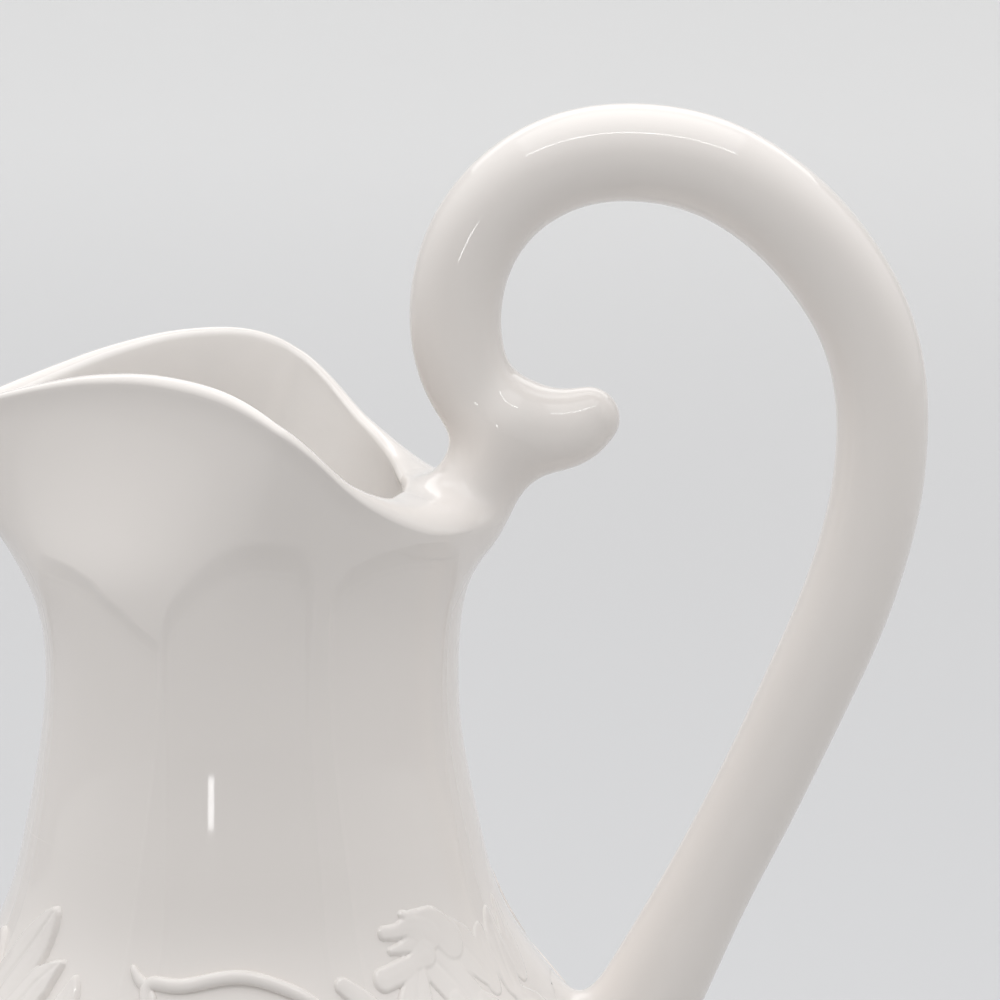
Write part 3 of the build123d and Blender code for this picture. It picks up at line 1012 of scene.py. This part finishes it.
# Each leaf: its line of bearings and heights, its half widths along it, its thickness, the depth of
# its vein, and whether its ends are blunt. Before them stand the bearings and heights of the patch
def build_flowers():
    return relief_patch("flower_sprays_leaves", (-80, -30), (141, 196), [
        ([(-58, 160), (-58.5, 170), (-55.0, 180), (-49.6, 190.4)], [3.0, 6.4, 6.2, 2.6], 1.5, 0.25),
        ([(-61, 160), (-67, 170), (-71, 181)], [2.6, 5.6, 3.0], 1.2, 0.2),
        ([(-54, 160), (-50.4, 168), (-47.6, 174.5), (-42.7, 180.4)], [3.0, 4.6, 4.2, 1.0], 1.7, 0.22),
        ([(-46, 158), (-41.0, 165), (-38.2, 172), (-38.2, 178.0)], [3.0, 4.2, 3.6, 1.6], 1.6, 0.2),
        ([(-41, 157), (-35.5, 164), (-33.5, 172.0)], [2.6, 3.4, 2.0], 1.3, 0.2),
        ([(-58, 160), (-63, 153), (-66, 147)], [2.6, 4.8, 2.4], 1.4, 0.2),
        ([(-52, 160), (-50, 152), (-47, 146)], [2.6, 4.8, 2.4], 1.4, 0.2),
        ([(-46, 159), (-39, 154), (-34, 151)], [2.6, 4.2, 2.0], 1.3, 0.2),
        ([(-54, 161), (-50.5, 160.5)], [5.2, 5.2], 2.3, 0.0, True),
    ])


def build_leaves():
    return relief_patch("leaf_sprays_petals", (16, 68), (150, 197), [
        ([(33.6, 188.0), (36.5, 187.8), (41.0, 188.2), (46, 185.5)],
         [1.6, 1.8, 2.9, 3.6], 0.95, 0.0, True),
        ([(39.5, 191.2), (42.5, 189.8), (46.5, 188.5), (52, 183.5)],
         [0.9, 2.4, 4.2, 4.6], 0.85, 0.0, True),
        ([(34.6, 184.0), (37.5, 184.2), (42.0, 185.0)], [0.9, 1.5, 2.8], 0.9, 0.0, True),
        ([(31.2, 178.3), (33.2, 178.7), (37.5, 180.0), (43.5, 182.0)],
         [2.7, 2.6, 2.0, 3.2], 1.0, 0.0, True),
        ([(42, 184), (47, 178), (51, 170), (53, 162)], [3.6, 5.4, 5.6, 2.6], 0.6, 0.12),
        ([(48, 187), (56, 181), (61, 171)], [3.6, 5.4, 2.4], 0.4, 0.1),
        ([(21.6, 178.2), (23.8, 176.2), (26.8, 172.6), (29.5, 168.5)],
         [2.0, 2.5, 3.1, 2.2], 1.1, 0.0, True),
        ([(41, 180), (37, 172), (33.5, 164)], [2.4, 4.4, 2.2], 0.9, 0.15),
        ([(48, 172), (46, 165), (43, 158)], [3.0, 4.4, 2.2], 0.9, 0.15),
        ([(54, 170), (58, 163), (61, 157)], [3.0, 4.2, 2.2], 0.8, 0.15),
    ])


def build_root_leaves():
    return relief_patch("root_leaves_soft", (52, 88), (152, 196), [
        ([(66, 168), (68, 176), (71, 186)], [3.4, 4.8, 2.6], 0.5, 0.1),
        ([(72, 170), (77, 179), (79, 187)], [3.0, 4.4, 2.2], 0.45, 0.1),
        ([(60, 170), (61.5, 177), (64.5, 184)], [2.4, 3.6, 2.0], 0.4, 0.08),
        ([(66, 168), (72, 162), (76, 157)], [2.8, 4.2, 2.4], 0.5, 0.1),
    ])


# Stage, light and camera
VIEW_TARGET = Vector((0.05875, 0, 0.280))
VIEW_DISTANCE = 1.2
VIEW_RISE = math.radians(10.5)
VIEW_HALF_WIDTH = 0.1175
SENSOR = 36


def build_camera():
    cam = bpy.data.cameras.new("camera")
    cam.sensor_width = SENSOR
    cam.lens = SENSOR / (2 * VIEW_HALF_WIDTH / VIEW_DISTANCE)
    cam.clip_end = 60
    obj = bpy.data.objects.new("camera", cam)
    away = Vector((0, -VIEW_DISTANCE * math.cos(VIEW_RISE), VIEW_DISTANCE * math.sin(VIEW_RISE)))
    obj.location = VIEW_TARGET + away
    obj.rotation_euler = (VIEW_TARGET - obj.location).to_track_quat("-Z", "Y").to_euler()
    bpy.context.scene.collection.objects.link(obj)
    bpy.context.scene.camera = obj


def tree_of(owner):
    """The emptied node tree of a material or of the world."""
    owner.use_nodes = True
    owner.node_tree.nodes.clear()
    return owner.node_tree


def add_node(tree, kind, inputs=None, **fields):
    """A node with its fields set, and its inputs set to a value or linked to another node's output."""
    node = tree.nodes.new(kind)
    for name, value in fields.items():
        setattr(node, name, value)
    for name, value in (inputs or {}).items():
        if isinstance(value, bpy.types.NodeSocket):
            tree.links.new(value, node.inputs[name])
        else:
            node.inputs[name].default_value = value
    return node


def maths(tree, operation, *terms):
    """The output of a maths node for one or two terms."""
    return add_node(tree, "ShaderNodeMath", dict(enumerate(terms)), operation=operation).outputs[0]


def map_range(tree, value, source, target, curve="LINEAR"):
    """A value with the range source laid onto the range target."""
    inputs = {
        "Value": value,
        "From Min": source[0],
        "From Max": source[1],
        "To Min": target[0],
        "To Max": target[1],
    }
    return add_node(tree, "ShaderNodeMapRange", inputs, interpolation_type=curve).outputs[0]


# The glaze: how cloudy its colour is, and the size, rarity and colour of its fine dark specks
CLOUD_SHADE = 0.985
SPECK_SCALE = 60
SPECK_RARE = 0.965
SPECK_SIZE = 0.018
SPECK_COLOUR = (0.33, 0.31, 0.28, 1)


def glaze(name, colour):
    mat = bpy.data.materials.new(name)
    tree = tree_of(mat)
    place = add_node(tree, "ShaderNodeTexCoord").outputs["Object"]
    cloud = add_node(tree, "ShaderNodeTexNoise", {"Vector": place, "Scale": 14, "Detail": 3})
    cloud = cloud.outputs["Fac"]
    tint = add_node(tree, "ShaderNodeValToRGB", {"Fac": cloud})
    dull, full = tint.color_ramp.elements
    dull.position = 0.3
    dull.color = [c * CLOUD_SHADE for c in colour] + [1]
    full.position = 0.7
    full.color = list(colour) + [1]
    cells = add_node(tree, "ShaderNodeTexVoronoi", {"Vector": place, "Scale": SPECK_SCALE})
    rare = maths(tree, "GREATER_THAN", cells.outputs["Color"], SPECK_RARE)
    close = maths(tree, "LESS_THAN", cells.outputs["Distance"], SPECK_SIZE)
    speck = maths(tree, "MULTIPLY", rare, close)
    # Inputs 0, 6 and 7 are the share and the two colours
    mixed = {0: speck, 6: tint.outputs["Color"], 7: SPECK_COLOUR}
    base = add_node(tree, "ShaderNodeMix", mixed, data_type="RGBA").outputs[2]
    rough = map_range(tree, cloud, (0, 1), (ROUGHNESS * 0.75, ROUGHNESS * 1.35))
    # The glaze pulls over the clay in long soft waves
    wave = add_node(tree, "ShaderNodeTexNoise", {"Vector": place, "Scale": 38, "Detail": 1})
    height = {"Strength": 0.25, "Distance": 0.0004, "Height": wave.outputs["Fac"]}
    bump = add_node(tree, "ShaderNodeBump", height).outputs[0]
    looks = {"IOR": 1.5, "Base Color": base, "Roughness": rough, "Normal": bump}
    shader = add_node(tree, "ShaderNodeBsdfPrincipled", looks)
    add_node(tree, "ShaderNodeOutputMaterial", {"Surface": shader.outputs[0]})
    return mat


# The sweep of paper: half its width, where its floor ends, the radius of its bend and its height
SWEEP_HALF, SWEEP_BACK, SWEEP_BEND, SWEEP_TOP = 6.0, 3.2, 1.5, 5.0
# Where its painted shade starts and ends, the shades there, and those between by their share of the
# way. The paper's colour is graded painted shade: darker near the ewer, lighter far back
SWEEP_NEAR, SWEEP_FAR = 0.1, 4.0
NEAR_PAINTED_SHADE, FAR_PAINTED_SHADE = (0.52, 0.52, 0.52, 1), (0.62, 0.62, 0.62, 1)
PAINTED_SHADES_BETWEEN = {0.1: (0.60, 0.603, 0.613, 1), 0.31: (0.605, 0.605, 0.612, 1)}


def build_stage():
    rows = [(-SWEEP_HALF, 0.0), (SWEEP_BACK, 0.0)]
    for turn in np.linspace(0, math.pi / 2, 16)[1:]:
        back, up = SWEEP_BEND * math.sin(turn), SWEEP_BEND - SWEEP_BEND * math.cos(turn)
        rows.append((SWEEP_BACK + back, up))
    rows.append((SWEEP_BACK + SWEEP_BEND, SWEEP_TOP))
    points = [(x * 1000, y * 1000, z * 1000) for y, z in rows for x in (-SWEEP_HALF, SWEEP_HALF)]
    faces = [[2 * k, 2 * k + 1, 2 * k + 3, 2 * k + 2] for k in range(len(rows) - 1)]
    floor = add_mesh("floor_sweep", points, faces)
    mat = bpy.data.materials.new("paper_sweep")
    tree = tree_of(mat)
    place = add_node(tree, "ShaderNodeTexCoord").outputs["Object"]
    depth = add_node(tree, "ShaderNodeSeparateXYZ", {0: place}).outputs["Y"]
    share = map_range(tree, depth, (SWEEP_NEAR, SWEEP_FAR), (0, 1))
    # Painted shade along the paper's depth, darker near the ewer
    tone = add_node(tree, "ShaderNodeValToRGB", {"Fac": share})
    stops = tone.color_ramp.elements
    stops[0].color = NEAR_PAINTED_SHADE
    stops[1].color = FAR_PAINTED_SHADE
    for spot, shade in PAINTED_SHADES_BETWEEN.items():
        stops.new(spot).color = shade
    shader = add_node(tree, "ShaderNodeBsdfDiffuse", {"Color": tone.outputs["Color"]})
    add_node(tree, "ShaderNodeOutputMaterial", {"Surface": shader.outputs[0]})
    floor.data.materials.append(mat)


# Area lamps: name, place, the point they face, width and height, and power in watts
LAMPS = [
    ("overhead", (0.05, -0.06, 1.58), (0.05, -0.06, 0), (1.6, 1.6), 7.5),
    ("overhead_edge", (0.05, -0.88, 1.57), (0.05, -0.40, 0.3), (1.6, 0.04), 2.4),
    ("backdrop", (0, 3.9, 2.7), (0, 3.9, 0), (6, 3.0), 84),
    ("window", (-0.50, -1.75, 0.355), (0, 0, 0.22), (0.08, 0.17), 0.4),
]


def build_light():
    """A room that is bright above, behind and at the sides and dimmer behind the camera, and lamps."""
    world = bpy.data.worlds.new("studio")
    bpy.context.scene.world = world
    tree = tree_of(world)
    place = add_node(tree, "ShaderNodeTexCoord").outputs["Generated"]
    way = add_node(tree, "ShaderNodeSeparateXYZ", {0: place}).outputs
    depth = map_range(tree, way["Y"], (-0.9, 0.33), (0.27, 0.56), "SMOOTHSTEP")
    lift = map_range(tree, way["Z"], (0.15, 0.75), (0.0, 0.40), "SMOOTHSTEP")
    aside = maths(tree, "ABSOLUTE", way["X"])
    flank = map_range(tree, aside, (0.4, 1.0), (1.0, 1.4), "SMOOTHSTEP")
    strength = maths(tree, "MULTIPLY", maths(tree, "ADD", depth, lift), flank)
    looks = {"Strength": strength, "Color": (1, 1, 1, 1)}
    shade = add_node(tree, "ShaderNodeBackground", looks)
    add_node(tree, "ShaderNodeOutputWorld", {"Surface": shade.outputs[0]})
    for name, spot, aim, size, power in LAMPS:
        light = bpy.data.lights.new(name, "AREA")
        light.shape = "RECTANGLE"
        light.size, light.size_y = size
        light.energy = power
        obj = bpy.data.objects.new(name, light)
        obj.location = spot
        obj.rotation_euler = (Vector(aim) - Vector(spot)).to_track_quat("-Z", "Y").to_euler()
        bpy.context.scene.collection.objects.link(obj)


body_glaze = glaze("ewer_glaze", WHITE)
pieces = {
    build_neck: (["neck"], "glaze"),
    build_belly: (["belly"], "glaze"),
    build_foot: (["foot"], "glaze"),
    build_handle: (["handle"], "glaze"),
    build_frames: (["side_frames"], "relief_glaze"),
    build_flowers: (["flower_sprays"], "relief_glaze"),
    build_leaves: (["leaf_sprays"], "relief_glaze"),
    build_root_leaves: (["root_leaves"], "relief_glaze"),
}
for build, (stood_for, slot) in pieces.items():
    piece = build()
    if not piece.data.materials:
        piece.data.materials.append(body_glaze)
    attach(piece, "root")
    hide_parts(*stood_for)
build_stage()
build_light()
build_camera()
bpy.context.scene.view_settings.view_transform = "Standard"
